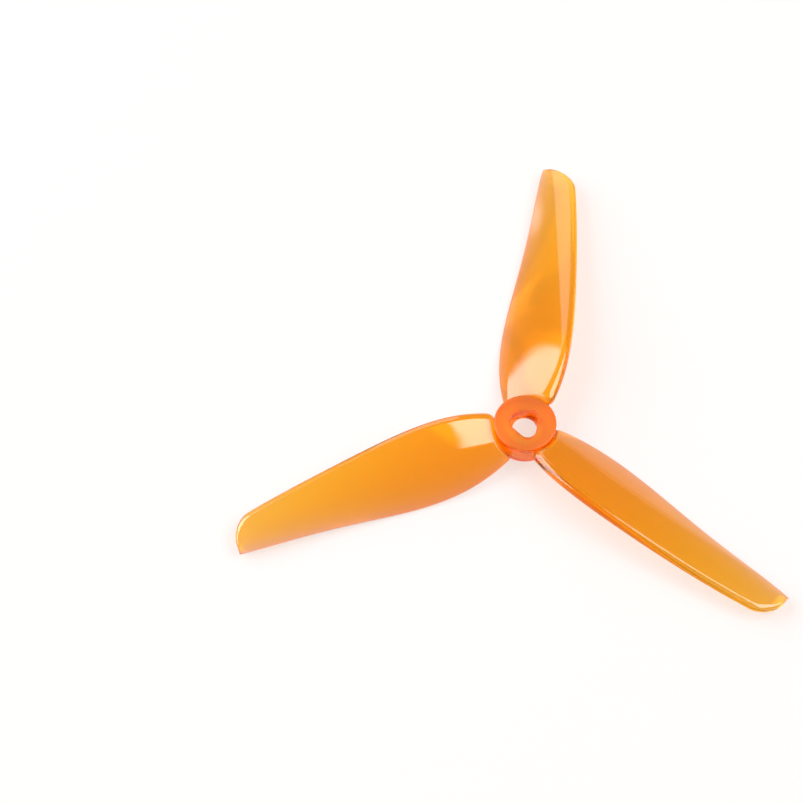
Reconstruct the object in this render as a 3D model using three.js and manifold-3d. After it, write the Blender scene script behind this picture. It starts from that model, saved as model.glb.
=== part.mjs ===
// A five-inch, three-bladed propeller for a quadcopter, moulded in clear orange polycarbonate.
// Units are millimetres, +Z is up and is the thrust side. The origin is on the shaft axis, in the plane of
// the hub's underside, which is the face that sits on the motor. Seen from above it turns clockwise.
import * as THREE from 'three';
import { mergeVertices } from 'three/addons/utils/BufferGeometryUtils.js';
import Module from 'manifold-3d';

const wasm = await Module();
wasm.setup();

// Driving dimensions: the whole propeller
const TIP_RADIUS = 63.5;
const BLADE_COUNT = 3;
const FIRST_BLADE_ANGLE = Math.PI / 2;
const GAP = 0.3; // between a blade's root and the hub, which the real moulding fills

// Hub
const HUB_RADIUS = 6.4;
const HUB_HEIGHT = 5.2;
const HUB_BEVEL = 0.35;
const BORE_RADIUS = 2.5;
const KEY_DEPTH = 2.4;
const KEY_LOBES = 3;
const KEY_FLAT_RADIUS = 2.55; // from the axis to each flat of the keyed socket
const KEY_LOBE_RADIUS = 3.35; // from the axis to the end of each lobe
const KEY_TURN = -0.6; // radians from a blade's line back to the lobe behind it
const RECESS_RADIUS = 4.0;
const RECESS_DEPTH = 2.1;

// Blade: each list is a smooth curve's control values, evenly spread from BLADE_START out to the tip
const BLADE_START = 5; // inside the hub's wall, where the curves begin
const LEAD = [4.5, 8, 7, 5.5, 5, 3.5, 1.3]; // leading edge, ahead of the blade's radial line
const TRAIL = [-4.8, -8.7, -9.2, -6.8, -5.2, -6.4, -5.3]; // trailing edge, behind it
const PITCH = [20, 31, 29, 22, 14, 10]; // degrees between the chord and the plane of rotation
const RISE = [0, -0.3, -2, -1.6, -2.4]; // height of the chord's middle over the hub's middle
const THICKNESS = [2.6, 2.4, 2.2, 1.8, 1.3]; // thickest place of each section
const TRAIL_THICKNESS = 0.45;
const THICKEST_AT = 0.22; // share of the chord that lies ahead of a section's thickest place
const NOSE_SHARE = 0.85; // how much of that thickness, over the trailing edge's, is left at the nose
const NOSE_LENGTH = 1.3; // along the chord, where the nose rounds off
const CAMBER = 0.045; // arch of a section's middle line, as a share of the chord
const TIP_CORNER_LENGTH = 4.4; // along the blade, where the leading corner is rounded off
const TIP_WIDTH = 1.9; // what is left of the chord at the very tip

// Fineness of the mesh
const HUB_STEPS = 72;
const LOBE_STEPS = 8;
const SPAN_STEPS = 22;
const CORNER_STEPS = 7;
const CHORD_STEPS = 12;

// Finish: clear polished blades and a finely frosted hub
const BLADE_ORANGE = 0xff8c0a;
const BLADE_ROUGHNESS = 0.1;
const HUB_ORANGE = 0xff7a2e;
const HUB_ROUGHNESS = 0.4;

// Bernstein polynomial through a list of control values, at t from 0 to 1
function smooth(controls, t) {
  const degree = controls.length - 1;
  let choose = 1;
  let sum = 0;
  for (let i = 0; i <= degree; i++) {
    sum += controls[i] * choose * t ** i * (1 - t) ** (degree - i);
    choose = (choose * (degree - i)) / (i + 1);
  }
  return sum;
}

function solidOf(geometry) {
  const bare = geometry.clone();
  bare.deleteAttribute('normal');
  bare.deleteAttribute('uv');
  const merged = mergeVertices(bare, 1e-5);
  return new wasm.Manifold(new wasm.Mesh({
    numProp: 3,
    vertProperties: new Float32Array(merged.attributes.position.array),
    triVerts: new Uint32Array(merged.index.array),
  }));
}

function geometryOf(solid) {
  const mesh = solid.getMesh();
  const geometry = new THREE.BufferGeometry();
  geometry.setAttribute('position', new THREE.BufferAttribute(new Float32Array(mesh.vertProperties), 3));
  geometry.setIndex(new THREE.BufferAttribute(new Uint32Array(mesh.triVerts), 1));
  geometry.computeVertexNormals();
  return geometry;
}

// A plain disc or barrel on the Z axis, from one height up to another
function barrel(radius, low, high) {
  const geometry = new THREE.CylinderGeometry(radius, radius, high - low, HUB_STEPS);
  geometry.rotateX(Math.PI / 2);
  geometry.translate(0, 0, (low + high) / 2);
  return geometry;
}

// The hub's outer barrel, turned about Z, with a small bevel at both rims
function hubBarrel() {
  const profile = [
    new THREE.Vector2(0, 0),
    new THREE.Vector2(HUB_RADIUS - HUB_BEVEL, 0),
    new THREE.Vector2(HUB_RADIUS, HUB_BEVEL),
    new THREE.Vector2(HUB_RADIUS, HUB_HEIGHT - HUB_BEVEL),
    new THREE.Vector2(HUB_RADIUS - HUB_BEVEL, HUB_HEIGHT),
    new THREE.Vector2(0, HUB_HEIGHT),
  ];
  const geometry = new THREE.LatheGeometry(profile, HUB_STEPS);
  geometry.rotateX(Math.PI / 2);
  return geometry;
}

// The keyed socket's outline: a triangle whose three corners are rounded into lobes, which run smoothly
// into its flats
function keyOutline() {
  const outline = new THREE.Shape();
  const centre = 2 * (KEY_LOBE_RADIUS - KEY_FLAT_RADIUS);
  const corner = KEY_LOBE_RADIUS - centre;
  const spread = Math.PI / KEY_LOBES;
  for (let lobe = 0; lobe < KEY_LOBES; lobe++) {
    const middle = FIRST_BLADE_ANGLE + KEY_TURN + (lobe * 2 * Math.PI) / KEY_LOBES;
    for (let step = 0; step <= LOBE_STEPS; step++) {
      const angle = middle + spread * ((2 * step) / LOBE_STEPS - 1);
      const x = centre * Math.cos(middle) + corner * Math.cos(angle);
      const y = centre * Math.sin(middle) + corner * Math.sin(angle);
      if (lobe === 0 && step === 0) outline.moveTo(x, y);
      else outline.lineTo(x, y);
    }
  }
  return outline;
}

function keySocket() {
  const geometry = new THREE.ExtrudeGeometry(keyOutline(), { depth: KEY_DEPTH + 1, bevelEnabled: false });
  geometry.translate(0, 0, HUB_HEIGHT - KEY_DEPTH);
  return geometry;
}

// Hub: a barrel with a keyed socket in its top face, a round shaft bore through the web and a round
// recess in its underside
function hub() {
  const solid = solidOf(hubBarrel())
    .subtract(solidOf(keySocket()))
    .subtract(solidOf(barrel(BORE_RADIUS, -1, HUB_HEIGHT)))
    .subtract(solidOf(barrel(RECESS_RADIUS, -1, RECESS_DEPTH)));
  return geometryOf(solid);
}

// Share of the chord that is left near the tip, where the leading corner is a quarter of an ellipse
function cornerShare(radius, chord) {
  const into = (radius - (TIP_RADIUS - TIP_CORNER_LENGTH)) / TIP_CORNER_LENGTH;
  if (into <= 0) return 1;
  const cut = 1 - Math.sqrt(Math.max(0, 1 - into * into));
  return 1 - (1 - TIP_WIDTH / chord) * cut;
}

// Half the thickness of a section, at a share u of the chord behind its nose: two parabolas that meet at
// the thickest place, closed by a quarter of an ellipse at the nose
function halfThickness(u, chord, thickest) {
  const behind = u > THICKEST_AT;
  const reach = behind ? (u - THICKEST_AT) / (1 - THICKEST_AT) : 1 - u / THICKEST_AT;
  const share = 1 - (behind ? 1 : 1 - NOSE_SHARE) * reach ** 2;
  const half = (TRAIL_THICKNESS + (thickest - TRAIL_THICKNESS) * share) / 2;
  const ahead = Math.max(0, 1 - (u * chord) / NOSE_LENGTH);
  return half * Math.sqrt(1 - ahead ** 2);
}

// One section across the blade at a radius: points from the trailing edge over the top to the nose, and
// back underneath. Across is positive towards the leading edge and up is along Z.
function section(radius) {
  const t = (radius - BLADE_START) / (TIP_RADIUS - BLADE_START);
  const trail = smooth(TRAIL, t);
  const width = smooth(LEAD, t) - trail;
  const slope = Math.tan(THREE.MathUtils.degToRad(smooth(PITCH, t)));
  const low = HUB_HEIGHT / 2 + smooth(RISE, t) - (width * slope) / 2;
  const share = cornerShare(radius, width);
  const chord = width * share * Math.hypot(1, slope);
  const along = new THREE.Vector2(1, slope).normalize();
  const points = [];
  for (let i = 0; i < 2 * CHORD_STEPS + 1; i++) {
    const turn = (Math.PI * i) / CHORD_STEPS;
    const u = (1 + Math.cos(turn)) / 2;
    const side = i <= CHORD_STEPS ? 1 : -1;
    const arch = 4 * CAMBER * chord * u * (1 - u);
    const off = arch + side * halfThickness(u, chord, smooth(THICKNESS, t));
    points.push(new THREE.Vector2(
      trail + along.x * chord * (1 - u) - along.y * off,
      low + along.y * chord * (1 - u) + along.x * off,
    ));
  }
  return points;
}

// The radii at which sections are taken: evenly out to the tip's corner, then closer together round it
function sectionRadii() {
  const cornerStart = TIP_RADIUS - TIP_CORNER_LENGTH;
  const radii = [];
  for (let i = 0; i < SPAN_STEPS; i++) {
    radii.push(THREE.MathUtils.lerp(BLADE_START, cornerStart, i / SPAN_STEPS));
  }
  for (let i = 0; i <= CORNER_STEPS; i++) {
    radii.push(cornerStart + TIP_CORNER_LENGTH * Math.sin((Math.PI / 2) * (i / CORNER_STEPS)));
  }
  return radii;
}

// Blade lofted through its sections along +X, closed by a flat fan at each end
function bladeLoft() {
  const rings = sectionRadii().map((radius) => section(radius).map((p) => [radius, -p.x, p.y]));
  const count = rings[0].length;
  const positions = rings.flat(2);
  const faces = [];
  for (let r = 0; r + 1 < rings.length; r++) {
    for (let i = 0; i < count; i++) {
      const a = r * count + i;
      const b = r * count + ((i + 1) % count);
      faces.push(a, b, a + count, b, b + count, a + count);
    }
  }
  for (const [start, flip] of [[0, true], [(rings.length - 1) * count, false]]) {
    for (let i = 1; i + 1 < count; i++) {
      const pair = flip ? [start + i + 1, start + i] : [start + i, start + i + 1];
      faces.push(start, ...pair);
    }
  }
  const geometry = new THREE.BufferGeometry();
  geometry.setAttribute('position', new THREE.Float32BufferAttribute(positions, 3));
  geometry.setIndex(faces);
  return geometry;
}

// One blade, with its root cut to the hub's round wall, standing at its own angle about Z
function blade(index) {
  const clear = barrel(HUB_RADIUS + GAP, -HUB_HEIGHT, 2 * HUB_HEIGHT);
  const geometry = geometryOf(solidOf(bladeLoft()).subtract(solidOf(clear)));
  geometry.rotateZ(FIRST_BLADE_ANGLE + (index * 2 * Math.PI) / BLADE_COUNT);
  return geometry;
}

function part(name, geometry, color, roughness) {
  const material = new THREE.MeshStandardMaterial({ color, roughness, metalness: 0 });
  const mesh = new THREE.Mesh(geometry, material);
  mesh.name = name;
  return mesh;
}

const group = new THREE.Group();
group.add(part('hub', hub(), HUB_ORANGE, HUB_ROUGHNESS));
for (let index = 0; index < BLADE_COUNT; index++) {
  group.add(part(`blade_${index + 1}`, blade(index), BLADE_ORANGE, BLADE_ROUGHNESS));
}

export default group;
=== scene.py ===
"""Looks of a clear orange, five-inch, three-bladed propeller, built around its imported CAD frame.

The propeller is one injection moulding of tinted polycarbonate. Its pieces here are the hub and the
blades, each a closed surface worked out as a whole grid of points from a few named sizes. Their lengths
are millimetres, as in the CAD source, and turn into metres when a mesh is made. The studio's lengths are
metres, unless a name says otherwise.
"""

import logging
import math
from dataclasses import dataclass
from enum import Enum
from typing import Optional, Union

import bmesh
import bpy
import numpy as np
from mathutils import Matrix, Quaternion, Vector


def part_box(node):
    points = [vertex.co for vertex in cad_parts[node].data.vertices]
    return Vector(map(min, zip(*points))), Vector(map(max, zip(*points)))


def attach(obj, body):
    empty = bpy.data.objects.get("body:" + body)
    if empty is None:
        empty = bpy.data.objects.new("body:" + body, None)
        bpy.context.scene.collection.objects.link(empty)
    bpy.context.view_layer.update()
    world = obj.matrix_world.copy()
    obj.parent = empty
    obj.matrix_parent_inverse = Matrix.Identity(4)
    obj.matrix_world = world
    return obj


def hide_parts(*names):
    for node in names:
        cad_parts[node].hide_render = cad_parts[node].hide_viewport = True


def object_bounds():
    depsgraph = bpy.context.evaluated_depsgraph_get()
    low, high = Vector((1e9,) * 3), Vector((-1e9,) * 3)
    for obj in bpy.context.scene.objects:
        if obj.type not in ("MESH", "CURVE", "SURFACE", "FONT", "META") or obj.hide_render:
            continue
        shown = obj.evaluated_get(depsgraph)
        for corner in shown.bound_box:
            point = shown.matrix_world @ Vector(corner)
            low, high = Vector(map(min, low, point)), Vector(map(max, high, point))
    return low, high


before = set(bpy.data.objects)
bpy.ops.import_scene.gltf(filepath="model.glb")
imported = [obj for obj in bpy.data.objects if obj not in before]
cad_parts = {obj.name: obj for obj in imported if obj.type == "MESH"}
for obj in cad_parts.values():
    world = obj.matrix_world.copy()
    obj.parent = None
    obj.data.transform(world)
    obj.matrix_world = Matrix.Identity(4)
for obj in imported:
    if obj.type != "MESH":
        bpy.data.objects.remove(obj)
CAD_BOUNDS = [list(corner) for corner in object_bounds()]

MM = 0.001
TAU = 2 * math.pi
BODY = "root"
BLADE_COUNT = 3
FIRST_BLADE_ANGLE = TAU / 4
FLOOR_GAP = 0.2 * MM  # between the lowest place of the part and the floor
WELD = 1e-7  # points closer than this are one
SLIVER = 1e-8  # edges shorter than this are taken out
TINY = 1e-9  # stands in for a length of nothing where one is divided by

Array = np.ndarray
Colour = tuple[float, float, float]
Triple = tuple[float, float, float]
Number = Union[int, float]

logging.basicConfig(level=logging.INFO, format="%(name)s: %(message)s")
log = logging.getLogger("propeller")


# ---------------------------------------------------------------------------------------- curves


def bernstein(controls: tuple[float, ...], t: Array) -> Array:
    """Smooth curve through a list of evenly spread control values.

    The value at t is the sum of each control times C(n, i) t^i (1 - t)^(n - i).

    Args:
        controls: The control values, first to last.
        t: Places along the curve, from 0 to 1.

    Returns:
        The curve's value at each place.
    """
    n = len(controls) - 1
    terms = [math.comb(n, i) * t**i * (1 - t) ** (n - i) * c for i, c in enumerate(controls)]
    return np.sum(terms, axis=0)


def quarter_round(x: Array, start: float, end: float) -> Array:
    """Quarter of an ellipse, 1 at start and falling to 0 at end, upright at its end.

    Args:
        x: The places to measure.
        start: Where the rounding begins.
        end: Where the ellipse has closed.

    Returns:
        sqrt(1 - s^2), with s running from 0 at start to 1 at end.
    """
    s = np.clip((x - start) / (end - start), 0, 1)
    return np.sqrt(1 - s * s)


def rounded_ramp(x: Array, ease: float) -> Array:
    """Ramp which stays above 0 and leads smoothly into x itself.

    Args:
        x: The values to hold above 0.
        ease: How wide the rounding is.

    Returns:
        (x + sqrt(x^2 + ease^2)) / 2.
    """
    return (x + np.sqrt(x * x + ease * ease)) / 2


# ---------------------------------------------------------------------------------------- meshes


def mesh_from_grid(name: str, points: Array, close_rows: bool) -> bpy.types.Object:
    """Turns a grid of points into a closed, smooth mesh object.

    Columns always join round. Rows join round too, as on a ring, or end in lines that have closed on
    themselves, whose doubled points are then merged.

    Args:
        name: The object's name.
        points: Rows by columns by 3, in millimetres.
        close_rows: True if the last row joins the first.

    Returns:
        The new object, at the origin.
    """
    rows, columns = points.shape[:2]
    index = np.arange(rows * columns).reshape(rows, columns)
    if close_rows:
        index = np.vstack([index, index[:1]])
    right = np.roll(index, -1, axis=1)
    quads = np.stack([index[:-1], right[:-1], right[1:], index[1:]], axis=-1).reshape(-1, 4)
    mesh = bpy.data.meshes.new(name)
    mesh.from_pydata((points.reshape(-1, 3) * MM).tolist(), [], quads.tolist())
    build = bmesh.new()
    build.from_mesh(mesh)
    bmesh.ops.remove_doubles(build, verts=build.verts, dist=WELD)
    bmesh.ops.dissolve_degenerate(build, edges=build.edges, dist=SLIVER)
    bmesh.ops.recalc_face_normals(build, faces=build.faces)
    build.to_mesh(mesh)
    build.free()
    mesh.shade_smooth()
    piece = bpy.data.objects.new(name, mesh)
    bpy.context.scene.collection.objects.link(piece)
    return piece


def keep(piece: bpy.types.Object, node: str, material: bpy.types.Material) -> None:
    """Dresses a finished piece and fixes it to the frame.

    Args:
        piece: The new piece.
        node: The CAD node that it stands for.
        material: Its material.
    """
    piece.data.materials.append(material)
    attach(piece, BODY)
    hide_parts(node)
    log.info("%s: %d faces", piece.name, len(piece.data.polygons))


# ---------------------------------------------------------------------------------------- shaders


class Wire:
    """An output socket whose arithmetic adds Math nodes to its tree."""

    def __init__(self, tree: "Tree", socket: bpy.types.NodeSocket) -> None:
        """Holds the socket and the tree that it belongs to."""
        self.tree = tree
        self.socket = socket

    def _math(self, operation: str, a: "Value", b: "Value") -> "Wire":
        """One Math node on two values."""
        return self.tree.node("ShaderNodeMath", {"operation": operation}, {0: a, 1: b})

    def __add__(self, other: "Value") -> "Wire":
        """Sum."""
        return self._math("ADD", self, other)

    def __sub__(self, other: "Value") -> "Wire":
        """Difference."""
        return self._math("SUBTRACT", self, other)

    def __rsub__(self, other: "Value") -> "Wire":
        """Difference from a number."""
        return self._math("SUBTRACT", other, self)

    def __mul__(self, other: "Value") -> "Wire":
        """Product."""
        return self._math("MULTIPLY", self, other)

    __radd__ = __add__
    __rmul__ = __mul__

    def over(self, low: float, high: float) -> "Wire":
        """Smooth step of this value, 0 at low and 1 at high."""
        ends = {"Value": self, "From Min": low, "From Max": high}
        return self.tree.node("ShaderNodeMapRange", {"interpolation_type": "SMOOTHSTEP"}, ends)


Value = Union[Wire, Number, tuple]


class Tree:
    """A material's node tree, filled by one method."""

    # A Mix node's colour sockets, by number, since its other kinds' sockets have the same names
    MIX_FIRST = 6
    MIX_SECOND = 7
    MIX_RESULT = 2

    def __init__(self, name: str) -> None:
        """Makes an empty material of that name, with its output node."""
        self.material = bpy.data.materials.new(name)
        self.material.use_nodes = True
        self.nodes = self.material.node_tree.nodes
        self.links = self.material.node_tree.links
        self.nodes.clear()
        self.output = self.nodes.new("ShaderNodeOutputMaterial")

    def node(self, kind: str, settings: dict, inputs: dict, out: Union[int, str] = 0) -> Wire:
        """Adds one node.

        Args:
            kind: The node's type.
            settings: Its own settings, which are made first.
            inputs: Values or wires for its sockets, by name or number.
            out: The output socket that is wanted.

        Returns:
            That output socket.
        """
        made = self.nodes.new(kind)
        for key, setting in settings.items():
            setattr(made, key, setting)
        for key, value in inputs.items():
            if isinstance(value, Wire):
                self.links.new(value.socket, made.inputs[key])
            else:
                made.inputs[key].default_value = value
        return Wire(self, made.outputs[out])

    def coordinates(self, scale: Triple = (1, 1, 1)) -> Wire:
        """Object coordinates, in metres, stretched by a scale."""
        place = self.node("ShaderNodeTexCoord", {}, {}, "Object")
        return self.node("ShaderNodeMapping", {}, {"Vector": place, "Scale": scale})

    def height(self, place: Wire) -> Wire:
        """Height of a place above the origin, in metres."""
        return self.node("ShaderNodeSeparateXYZ", {}, {"Vector": place}, "Z")

    def flat_length(self, place: Wire) -> Wire:
        """Distance of a place from the vertical axis, in metres."""
        flat = self.node("ShaderNodeVectorMath", {"operation": "MULTIPLY"}, {0: place, 1: (1, 1, 0)})
        return self.node("ShaderNodeVectorMath", {"operation": "LENGTH"}, {0: flat}, "Value")

    def mix(self, share: Wire, first: "Value", second: "Value") -> Wire:
        """Colour between two, at a share from 0 to 1."""
        inputs = {"Factor": share, self.MIX_FIRST: first, self.MIX_SECOND: second}
        return self.node("ShaderNodeMix", {"data_type": "RGBA"}, inputs, self.MIX_RESULT)

    def noise(self, place: Wire, scale: float, detail: float = 2.0) -> Wire:
        """Noise of about that many lumps to the metre."""
        inputs = {"Vector": place, "Scale": scale, "Detail": detail}
        return self.node("ShaderNodeTexNoise", {"noise_dimensions": "3D"}, inputs)

    def bump(self, height: Wire, depth: float, under: Optional[Wire] = None) -> Wire:
        """Normal of a surface raised by a height from 0 to 1 times a depth in metres."""
        inputs = {"Height": height, "Distance": depth, "Strength": 1.0}
        if under is not None:
            inputs["Normal"] = under
        return self.node("ShaderNodeBump", {}, inputs)

    def finish(self, surface: Wire, volume: Optional[Wire] = None) -> bpy.types.Material:
        """Joins the shaders to the output and gives the material."""
        self.links.new(surface.socket, self.output.inputs["Surface"])
        if volume is not None:
            self.links.new(volume.socket, self.output.inputs["Volume"])
        return self.material


@dataclass(frozen=True)
class ClearPlastic:
    """Tinted clear polycarbonate: light bends in it and dims with the thickness it crosses.

    A finish has a main look, and a second one in some region of the part, which region gives as a wire
    from 0 to 1. The smudges and hairlines start and end at the noise values in their range, and add to
    the roughness.
    """

    name: str
    tint: Colour
    region_tint: Colour
    roughness: float
    region_roughness: float
    smudge: float
    absorb_tint: Colour
    absorb_per_m: float
    index: float = 1.585
    gloss_tint: Colour = (1.0, 1.0, 1.0)
    smudges_per_m: float = 90.0
    smudge_range: tuple[float, float] = (0.45, 0.75)
    hair: float = 0.05
    hairs_per_m: float = 150.0
    hair_stretch: Triple = (40.0, 1.0, 40.0)
    hair_range: tuple[float, float] = (0.66, 0.7)
    flow_depth_mm: float = 0.012
    flow_per_m: float = 160.0
    texture_depth_mm: float = 0.0
    texture_per_mm: float = 12.0

    def region(self, place: Wire) -> Wire:
        """Where the second look holds."""
        raise NotImplementedError

    def colour(self, place: Wire, region: Wire) -> Wire:
        """The tint, which changes between the main look and the second one."""
        return place.tree.mix(region, (*self.tint, 1.0), (*self.region_tint, 1.0))

    def material(self) -> bpy.types.Material:
        """Moulded surface with faint flow marks, handling smudges and hairline scratches.

        Returns:
            The finished material.
        """
        tree = Tree(self.name)
        place = tree.coordinates()
        region = self.region(place)
        smudges = tree.noise(place, self.smudges_per_m, detail=4.0).over(*self.smudge_range)
        flow = tree.noise(place, self.flow_per_m, detail=1.0)
        stretched = tree.coordinates(self.hair_stretch)
        hairs = tree.noise(stretched, self.hairs_per_m).over(*self.hair_range)
        rough = self.roughness + region * (self.region_roughness - self.roughness)
        rough = rough + smudges * self.smudge + hairs * self.hair
        normal = tree.bump(flow, self.flow_depth_mm * MM)
        if self.texture_depth_mm > 0:
            grain = tree.noise(place, self.texture_per_mm / MM)
            normal = tree.bump(grain, self.texture_depth_mm * MM, under=normal)
        surface = tree.node(
            "ShaderNodeBsdfPrincipled",
            {"distribution": "MULTI_GGX"},
            {
                # On the hub, the second look's paler colour is a painted sheen of the overhead lights
                "Base Color": self.colour(place, region),
                "Roughness": rough,
                "IOR": self.index,
                "Specular Tint": (*self.gloss_tint, 1.0),
                "Transmission Weight": 1.0,
                "Normal": normal,
            },
        )
        volume = tree.node(
            "ShaderNodeVolumeAbsorption",
            {},
            {"Color": (*self.absorb_tint, 1.0), "Density": self.absorb_per_m},
        )
        return tree.finish(surface, volume)


@dataclass(frozen=True)
class PolishedBlade(ClearPlastic):
    """A blade's plastic, polished but for the last of its root, which shares the hub's frosting.

    It looks paler towards the tip, where the moulding is thin. The distances are from the shaft's axis.
    """

    tip_tint: Colour = (1.0, 0.58, 0.95)
    frosted_to_mm: float = 6.9
    polished_from_mm: float = 7.9
    pale_from_mm: float = 12.0
    pale_to_mm: float = 68.0

    def region(self, place: Wire) -> Wire:
        """Close to the hub's wall."""
        radius = place.tree.flat_length(place)
        return 1 - radius.over(self.frosted_to_mm * MM, self.polished_from_mm * MM)

    def colour(self, place: Wire, region: Wire) -> Wire:
        """The tint, which turns paler along the blade."""
        tree = place.tree
        outward = tree.flat_length(place).over(self.pale_from_mm * MM, self.pale_to_mm * MM)
        return tree.mix(outward, super().colour(place, region), (*self.tip_tint, 1.0))


@dataclass(frozen=True)
class FrostedSheenHub(ClearPlastic):
    """The hub's plastic: deep-coloured walls, and a frosted top face whose paler colour is a painted
    sheen, the haze of the overhead lights on its frosting.

    The heights are from the underside.
    """

    # Between these two heights the top face's frosting and painted sheen fade in
    deep_to_mm: float = 4.9
    frosted_sheen_from_mm: float = 5.1

    def region(self, place: Wire) -> Wire:
        """The top face: frosted, and painted paler with the overhead lights' sheen."""
        return place.tree.height(place).over(self.deep_to_mm * MM, self.frosted_sheen_from_mm * MM)


BLADE_FINISH = PolishedBlade(
    "blade_orange_polycarbonate",
    tint=(1.0, 0.4, 0.4),
    region_tint=(1.0, 0.38, 0.3),
    roughness=0.04,
    region_roughness=0.3,
    smudge=0.05,
    absorb_tint=(0.999, 0.98, 0.0),
    absorb_per_m=1800.0,
)
HUB_FINISH = FrostedSheenHub(
    "hub_orange_polycarbonate",
    tint=(1.0, 0.3, 0.05),
    # Paler top-face tint: a painted sheen, the haze of the overhead lights on the frosting
    region_tint=(1.0, 0.7, 0.42),
    roughness=0.22,
    region_roughness=0.42,
    smudge=0.06,
    absorb_tint=(0.999, 0.95, 0.0),
    absorb_per_m=2400.0,
    gloss_tint=(1.0, 0.75, 0.55),
    texture_depth_mm=0.004,
)


# ---------------------------------------------------------------------------------------- blades


@dataclass
class Blade:
    """One blade: a cambered section carried out along the span between two curved edges."""

    number: int
    hub_radius: float
    hub_height: float
    tip_radius: float

    # Control values of the curves, evenly spread from the start out to the tip
    start: float = 5.0
    lead: tuple[float, ...] = (4.5, 8, 7, 5.5, 5, 3.5, 1.3)
    trail: tuple[float, ...] = (-4.8, -8.7, -9.2, -6.8, -5.2, -6.4, -5.3)
    pitch: tuple[float, ...] = (20, 31, 29, 22, 14, 10)
    rise: tuple[float, ...] = (0, -0.3, -2, -1.6, -2.4)
    thickness: tuple[float, ...] = (2.6, 2.4, 2.2, 1.8, 1.3)

    # Shape of a section
    trail_thickness: float = 0.45
    thickest_at: float = 0.22
    nose_share: float = 0.85
    nose_length: float = 1.3
    camber: float = 0.045

    # The tip's leading corner, and the rounding of the tip's edge
    corner_length: float = 4.4
    tip_width: float = 1.9
    edge_round: float = 0.35

    # The root: its fillet at the nose and at the trailing edge, and how it keeps clear of the hub's rims
    root_fillet: float = 1.2
    trail_fillet: float = 0.7
    root_gap: float = 0.015
    rim_margin: float = 0.35
    rim_slope: float = 0.6
    rim_ease: float = 0.3

    # Fineness of the grid. Its rows are spread partly evenly and partly closer together at both ends.
    span_steps: int = 160
    around_steps: int = 160
    evenness: float = 0.35

    # Passes that find where the root meets the hub's round wall, and how far round a section, either
    # way, its direction at a point is measured
    wall_passes: int = 12
    nearby_turn: float = 1e-3

    @property
    def angle(self) -> float:
        """The blade's direction about Z, in radians."""
        return FIRST_BLADE_ANGLE + (self.number - 1) * TAU / BLADE_COUNT

    def share_of_width(self, radius: Array, width: Array) -> Array:
        """What the rounded leading corner leaves of the width near the tip, from 0 to 1."""
        left = quarter_round(radius, self.tip_radius - self.corner_length, self.tip_radius)
        return left + (1 - left) * self.tip_width / width

    def half_thickness(self, back: Array, chord: Array, thickest: Array) -> Array:
        """Half the thickness of a section.

        The envelope is half the trailing edge's thickness plus what is left of the greatest one times
        a share, which falls as a parabola from 1 at the thickest place to 0 at the back, and to the
        nose's share at the front. A quarter ellipse closes it at the nose, and a small one at the back.

        Args:
            back: Share of the chord behind the nose.
            chord: The chord there.
            thickest: The section's greatest thickness.

        Returns:
            Half the thickness, from the middle line.
        """
        behind = 1 - ((back - self.thickest_at) / (1 - self.thickest_at)) ** 2
        ahead = 1 - (1 - self.nose_share) * ((self.thickest_at - back) / self.thickest_at) ** 2
        share = np.where(back > self.thickest_at, behind, ahead)
        half = (self.trail_thickness + (thickest - self.trail_thickness) * share) / 2
        nose = quarter_round(back, self.nose_length / chord, 0.0)
        return half * nose * quarter_round(back, 1 - self.trail_thickness / 2 / chord, 1.0)

    def section(self, radius: Array, turn: Array) -> Array:
        """Points round the blade's sections.

        Args:
            radius: The radius of each point, along the blade's line.
            turn: The angle round the section: 0 at the trailing edge, over the top to the nose at half
                a turn, and back underneath.

        Returns:
            For each point, how far it is ahead of the blade's line, and its height.
        """
        t = (np.maximum(radius, self.start) - self.start) / (self.tip_radius - self.start)
        trail = bernstein(self.trail, t)
        width = bernstein(self.lead, t) - trail
        slope = np.tan(np.radians(bernstein(self.pitch, t)))
        low = self.hub_height / 2 + bernstein(self.rise, t) - width * slope / 2
        run = 1 / np.hypot(1, slope)
        chord = width * self.share_of_width(radius, width) / run
        back = (1 + np.cos(turn)) / 2
        closing = quarter_round(radius, self.tip_radius - self.edge_round, self.tip_radius)
        half = self.half_thickness(back, chord, bernstein(self.thickness, t)) * closing
        arch = 4 * self.camber * chord * back * (1 - back)
        off = arch + np.where(turn % TAU <= math.pi, half, -half)
        forward = chord * (1 - back)
        ahead = trail + run * (forward - slope * off)
        height = low + run * (slope * forward + off)
        return np.stack([ahead, height], axis=-1)

    def flared(self, radius: Array, turn: Array, from_wall: Array) -> Array:
        """The section's points, pushed outwards near the hub to make the root's fillet.

        The push is a quarter circle's: the fillet's whole radius at the hub's wall, and nothing one
        radius away from it. The radius shrinks from the nose to the trailing edge as the square of the
        half turn's sine. The push eases off before either of the hub's two rims.

        Args:
            radius: The radius of each point.
            turn: The angle round the section.
            from_wall: Distance from the hub's wall.

        Returns:
            Points as section gives them.
        """
        before = self.section(radius, turn - self.nearby_turn)
        along = self.section(radius, turn + self.nearby_turn) - before
        along /= np.maximum(np.linalg.norm(along, axis=-1, keepdims=True), TINY)
        outward = np.stack([along[..., 1], -along[..., 0]], axis=-1)
        fillet = self.trail_fillet + (self.root_fillet - self.trail_fillet) * np.sin(turn / 2) ** 2
        near = np.clip(1 - from_wall / fillet, 0, 1)
        push = fillet * (1 - np.sqrt(1 - near**2))
        points = self.section(radius, turn) + outward * push[..., None]
        room = self.rim_margin - self.rim_slope * from_wall
        highest = self.hub_height - room
        up = room + rounded_ramp(points[..., 1] - room, self.rim_ease)
        points[..., 1] = highest - rounded_ramp(highest - up, self.rim_ease)
        return points

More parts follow.
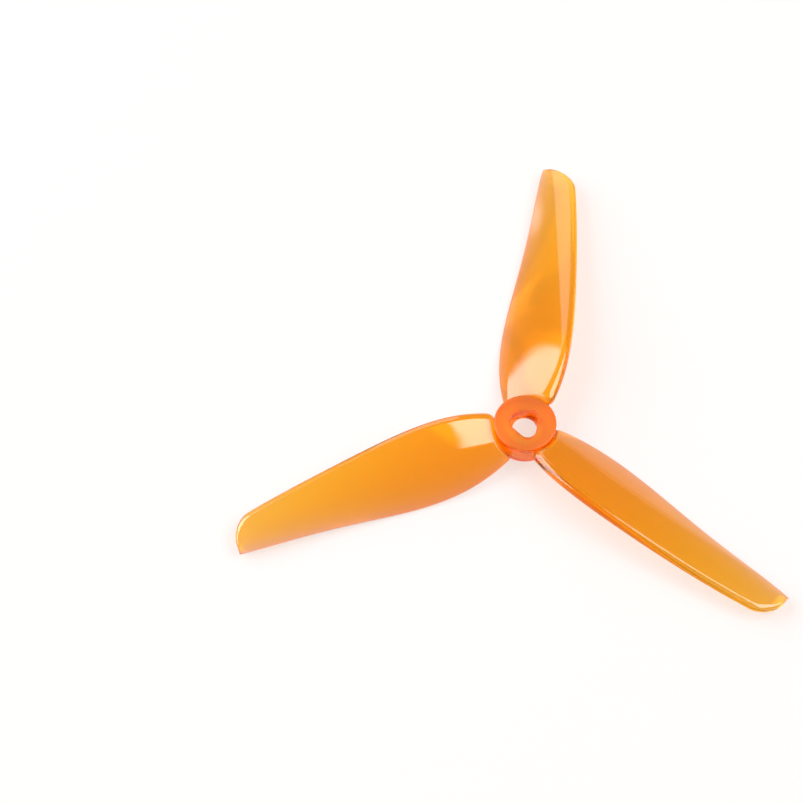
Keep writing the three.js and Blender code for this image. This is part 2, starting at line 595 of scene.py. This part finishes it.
    def points(self) -> Array:
        """The blade's whole grid, in millimetres, pointing along its own angle.

        A row lies at one distance from the hub's wall, so the first one bends round the wall, and the
        rows straighten out towards the tip. Each end closes on the section's middle line.
        """
        turn = np.linspace(0, TAU, self.around_steps, endpoint=False)[None, :]
        wall = self.hub_radius + self.root_gap
        start = np.full_like(turn, wall)
        for _ in range(self.wall_passes):
            ahead = self.flared(start, turn, 0 * start)[..., 0]
            start = np.sqrt(wall**2 - ahead**2)
        even = np.linspace(0, 1, self.span_steps)[:, None]
        eased = (1 - np.cos(even * math.pi)) / 2
        bunched = self.evenness * even + (1 - self.evenness) * eased
        out = start + (self.tip_radius - start) * bunched
        from_wall = (self.tip_radius - wall) * bunched + 0 * turn
        place = self.flared(out, turn, from_wall)
        grid = np.stack([out, -place[..., 0], place[..., 1]], axis=-1)
        opposite = np.roll(grid[:, ::-1], 1, axis=1)
        middle = (grid + opposite) / 2
        grid = np.concatenate([middle[:1], grid[:-1], middle[-1:]])
        c, s = math.cos(self.angle), math.sin(self.angle)
        turned = np.array([[c, s, 0], [-s, c, 0], [0, 0, 1]])
        return grid @ turned

    def build(self, material: bpy.types.Material) -> None:
        """Makes the blade's piece and dresses it."""
        name = f"blade_{self.number}"
        piece = mesh_from_grid(f"{name}_moulded", self.points(), close_rows=False)
        keep(piece, name, material)


# ---------------------------------------------------------------------------------------- hub


@dataclass
class Hub:
    """The hub: a barrel with a keyed socket above, a round recess below and a shaft bore between."""

    radius: float
    height: float
    bore_radius: float = 2.5
    key_depth: float = 2.4
    key_lobes: int = 3
    key_flat: float = 2.55
    key_lobe: float = 3.35
    key_turn: float = -0.6
    recess_radius: float = 4.0
    recess_depth: float = 2.1
    rim_round: float = 0.35
    inner_round: float = 0.12
    around_steps: int = 240
    arc_steps: int = 6

    def key_radius(self, turn: Array) -> Array:
        """Distance from the axis to the keyed socket's wall.

        The socket is a triangle whose corners are rounded lobes. Within each lobe's reach the wall is a
        circle about a centre on the lobe's line, and between lobes it is a flat.

        Args:
            turn: The direction about Z.

        Returns:
            The wall's distance in each direction.
        """
        centre = 2 * (self.key_lobe - self.key_flat)
        corner = self.key_lobe - centre
        spread = TAU / self.key_lobes / 2
        first = FIRST_BLADE_ANGLE + self.key_turn
        from_lobe = np.abs((turn - first + spread) % (2 * spread) - spread)
        touch = math.atan2(corner * math.sin(spread), centre + corner * math.cos(spread))
        reach = np.sqrt(np.maximum(corner**2 - (centre * np.sin(from_lobe)) ** 2, 0))
        arc = centre * np.cos(from_lobe) + reach
        flat = self.key_flat / np.cos(spread - from_lobe)
        return np.where(from_lobe < touch, arc, flat)

    def corner(self, radius: Array, height: float, size: float, begin: float, end: float) -> Array:
        """A rounded corner of the profile, as rows of points.

        Args:
            radius: Distance of the corner's sharp point from the axis, for each direction.
            height: Its height.
            size: The rounding's radius.
            begin: The first direction of the arc, in quarter turns from +radius towards +Z.
            end: The last direction.

        Returns:
            Rows of (radius, height) for each direction.
        """
        angles = np.linspace(begin, end, self.arc_steps)[:, None] * TAU / 4
        middle = (begin + end) / 2 * TAU / 4
        r = radius - math.copysign(size, math.cos(middle)) + size * np.cos(angles)
        z = height - math.copysign(size, math.sin(middle)) + size * np.sin(angles) + 0 * r
        return np.stack([r + 0 * z, z], axis=-1)

    def points(self) -> Array:
        """The hub's whole grid in millimetres.

        The profile starts low on the outer wall and goes up it, across the top face, down the keyed
        socket, across its floor, down the bore, out along the recess's ceiling, down its wall, and back
        across the underside.
        """
        turn = np.linspace(0, TAU, self.around_steps, endpoint=False)
        ring = np.ones_like(turn)
        key = self.key_radius(turn)
        floor = self.height - self.key_depth
        small = self.inner_round
        rows = [
            self.corner(self.radius * ring, 0, self.rim_round, -1, 0),
            self.corner(self.radius * ring, self.height, self.rim_round, 0, 1),
            self.flat_rows((self.radius - self.rim_round) * ring, key + small, self.height),
            self.corner(key, self.height, small, 1, 2),
            self.hollow(key, floor, small, -1),
            self.corner(self.bore_radius * ring, floor, small, 1, 2),
            self.corner(self.bore_radius * ring, self.recess_depth, small, 2, 3),
            self.hollow(self.recess_radius * ring, self.recess_depth, small, 1),
            self.corner(self.recess_radius * ring, 0, small, 2, 3),
            self.flat_rows((self.recess_radius + small) * ring, (self.radius - self.rim_round) * ring, 0),
        ]
        profile = np.concatenate(rows)
        r, z = profile[..., 0], profile[..., 1]
        return np.stack([r * np.cos(turn), r * np.sin(turn), z], axis=-1)

    def flat_rows(self, outer: Array, inner: Array, height: float) -> Array:
        """Rows across a flat face, between two outlines at one height."""
        share = np.linspace(0, 1, self.arc_steps + 2)[1:-1, None]
        r = outer + (inner - outer) * share
        return np.stack([r, height + 0 * r], axis=-1)

    def hollow(self, radius: Array, height: float, size: float, side: int) -> Array:
        """Rows round an inside corner, where a wall meets the face that ends it.

        Args:
            radius: The wall's distance from the axis, for each direction.
            height: The face's height.
            size: The rounding's radius.
            side: -1 for a floor, met from above, and 1 for a ceiling, left downwards.

        Returns:
            Rows of (radius, height) for each direction.
        """
        angles = np.linspace(0, TAU / 4, self.arc_steps)[:, None]
        r = radius - size + size * np.cos(angles)
        z = height + side * (size * np.sin(angles) - size) + 0 * r
        rows = np.stack([r + 0 * z, z], axis=-1)
        return rows if side < 0 else rows[::-1]

    def build(self, material: bpy.types.Material) -> None:
        """Makes the hub's piece and dresses it."""
        piece = mesh_from_grid("hub_moulded", self.points(), close_rows=True)
        keep(piece, "hub", material)


# ---------------------------------------------------------------------------------------- studio


class Side(Enum):
    """Where a soft light hangs: azimuth and elevation as the camera's are, and roll, in degrees."""

    LEFT = (-96.1, 36.0, 6.8)
    RIGHT = (97.9, 56.9, 19.4)
    BACK = (-158.0, 36.0, 0.0)


@dataclass
class SoftLight:
    """A large oblong soft light that faces the hub and fades towards its borders.

    Its borders lie at given angles from its aim, in degrees: sideways, above and below.
    """

    side: Side
    across: float
    above: float
    below: float
    radiance: float
    distance: float = 1.2
    fade: float = 0.05
    colour: Colour = (1.0, 0.93, 1.0)

    def build(self) -> None:
        """Hangs the light and aims it."""
        light = bpy.data.lights.new(f"softbox_{self.side.name.lower()}", "AREA")
        light.shape = "RECTANGLE"
        up = self.distance * math.tan(math.radians(self.above))
        down = self.distance * math.tan(math.radians(self.below))
        light.size = 2 * self.distance * math.tan(math.radians(self.across))
        light.size_y = up + down
        light.energy = self.radiance * math.pi * light.size * light.size_y
        light.color = self.colour
        self.soften(light)
        place = bpy.data.objects.new(light.name, light)
        azimuth, elevation, roll = self.side.value
        back = direction(azimuth, elevation)
        turn = Quaternion((0, 0, 1), math.radians(roll))
        facing = (-back).to_track_quat("-Z", "Y") @ turn
        place.location = back * self.distance + facing @ Vector((0, (up - down) / 2, 0))
        place.rotation_euler = facing.to_euler()
        bpy.context.scene.collection.objects.link(place)

    def soften(self, light: bpy.types.AreaLight) -> None:
        """Fades the light out over a share of its width, as the cloth front of a softbox does."""
        light.use_nodes = True
        nodes, links = light.node_tree.nodes, light.node_tree.links
        across = nodes.new("ShaderNodeNewGeometry").outputs["Parametric"]
        split = nodes.new("ShaderNodeSeparateXYZ")
        links.new(across, split.inputs[0])
        total = nodes.new("ShaderNodeMath")
        total.operation = "MULTIPLY"
        middle = 0.5
        for slot, axis in enumerate("XY"):
            fold = nodes.new("ShaderNodeMath")
            fold.operation = "PINGPONG"
            fold.inputs[1].default_value = middle
            links.new(split.outputs[axis], fold.inputs[0])
            ramp = nodes.new("ShaderNodeMapRange")
            ramp.interpolation_type = "SMOOTHSTEP"
            ramp.inputs["From Max"].default_value = self.fade
            links.new(fold.outputs[0], ramp.inputs["Value"])
            links.new(ramp.outputs["Result"], total.inputs[slot])
        links.new(total.outputs[0], nodes["Emission"].inputs["Strength"])


def direction(azimuth: float, elevation: float) -> Vector:
    """Unit vector towards a viewpoint.

    Args:
        azimuth: Degrees about Z. At 0 the viewpoint is on the -Y side.
        elevation: Degrees above the horizon.

    Returns:
        The vector from the object to the viewpoint.
    """
    a, e = math.radians(azimuth), math.radians(elevation)
    return Vector((math.sin(a) * math.cos(e), -math.cos(a) * math.cos(e), math.sin(e)))


@dataclass
class Studio:
    """Plain pale floor, soft light and the camera."""

    floor_height: float

    # The camera, which leans over by its roll, in degrees
    camera_place: Triple = (0.0158, -0.2956, 0.5865)
    aim: Triple = (-0.0258, 0.0018, 0.0026)
    roll: float = 1.65
    lens: float = 143.56
    clip_start: float = 0.01

    # The floor, and the room: its brightness at the horizon and overhead, and the strip between
    floor_size: float = 6.0
    floor_colour: Colour = (0.2, 0.196, 0.192)
    floor_glow: float = 0.7
    glow_colour: Colour = (1.0, 0.9, 0.85)
    room_low: float = 0.74
    room_high: float = 0.28
    strip_height: float = 0.11

    # How many times light may be turned on its way: in all, and by each of gloss and clear plastic
    bounces: int = 48
    clear_bounces: int = 32

    def camera(self) -> None:
        """Sets up the camera, which leans over a little and looks a little to the left of the hub."""
        camera = bpy.data.cameras.new("camera")
        camera.lens = self.lens
        camera.clip_start = self.clip_start
        place = bpy.data.objects.new("camera", camera)
        place.location = self.camera_place
        towards = Vector(self.aim) - Vector(self.camera_place)
        lean = Quaternion((0, 0, 1), math.radians(self.roll))
        place.rotation_euler = (towards.to_track_quat("-Z", "Y") @ lean).to_euler()
        bpy.context.scene.collection.objects.link(place)
        bpy.context.scene.camera = place

    def floor(self) -> None:
        """Lays a large pale floor."""
        half = self.floor_size / 2
        mesh = bpy.data.meshes.new("floor")
        corners = [(-half, -half), (half, -half), (half, half), (-half, half)]
        mesh.from_pydata([(x, y, self.floor_height) for x, y in corners], [], [(0, 1, 2, 3)])
        floor = bpy.data.objects.new("floor", mesh)
        bpy.context.scene.collection.objects.link(floor)
        tree = Tree("pale_floor")
        paint = {
            "Base Color": (*self.floor_colour, 1.0),
            "Roughness": 1.0,
            "Specular IOR Level": 0.0,
            "Emission Color": (*self.glow_colour, 1.0),
            "Emission Strength": self.floor_glow,
        }
        surface = tree.node("ShaderNodeBsdfPrincipled", {}, paint)
        mesh.materials.append(tree.finish(surface))

    def room(self) -> None:
        """Surrounds the part with pale walls, bright at the horizon and dimmer overhead."""
        world = bpy.data.worlds.new("room")
        world.use_nodes = True
        nodes, links = world.node_tree.nodes, world.node_tree.links
        place = nodes.new("ShaderNodeTexCoord")
        split = nodes.new("ShaderNodeSeparateXYZ")
        ramp = nodes.new("ShaderNodeMapRange")
        ramp.interpolation_type = "SMOOTHSTEP"
        ramp.inputs["From Min"].default_value = self.strip_height / 2
        ramp.inputs["From Max"].default_value = self.strip_height
        ramp.inputs["To Min"].default_value = self.room_low
        ramp.inputs["To Max"].default_value = self.room_high
        links.new(place.outputs["Generated"], split.inputs[0])
        links.new(split.outputs["Z"], ramp.inputs["Value"])
        background = nodes["Background"]
        background.inputs["Color"].default_value = (*self.glow_colour, 1.0)
        links.new(ramp.outputs["Result"], background.inputs["Strength"])
        bpy.context.scene.world = world

    def light(self) -> None:
        """Hangs the soft lights, and lets light pass many times through clear plastic."""
        for light in (
            SoftLight(Side.LEFT, across=28.5, above=26.5, below=26.5, radiance=6.4),
            SoftLight(Side.RIGHT, across=21.0, above=21.0, below=21.0, radiance=6.6),
            SoftLight(Side.BACK, across=13.0, above=19.0, below=27.0, radiance=1.9),
        ):
            light.build()
        scene = bpy.context.scene
        scene.view_settings.view_transform = "Standard"
        scene.cycles.max_bounces = self.bounces
        scene.cycles.glossy_bounces = self.clear_bounces
        scene.cycles.transmission_bounces = self.clear_bounces


# ---------------------------------------------------------------------------------------- build


def main() -> None:
    """Builds the studio, the hub and the blades."""
    low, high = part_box("hub")
    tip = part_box("blade_1")[1]
    hub_radius = (high.x - low.x) / 2 / MM
    hub_height = (high.z - low.z) / MM
    studio = Studio(floor_height=CAD_BOUNDS[0][2] - FLOOR_GAP)
    studio.camera()
    studio.floor()
    studio.room()
    studio.light()
    Hub(hub_radius, hub_height).build(HUB_FINISH.material())
    plastic = BLADE_FINISH.material()
    for number in range(1, BLADE_COUNT + 1):
        Blade(number, hub_radius, hub_height, tip.y / MM).build(plastic)


if __name__ == "__main__":
    main()
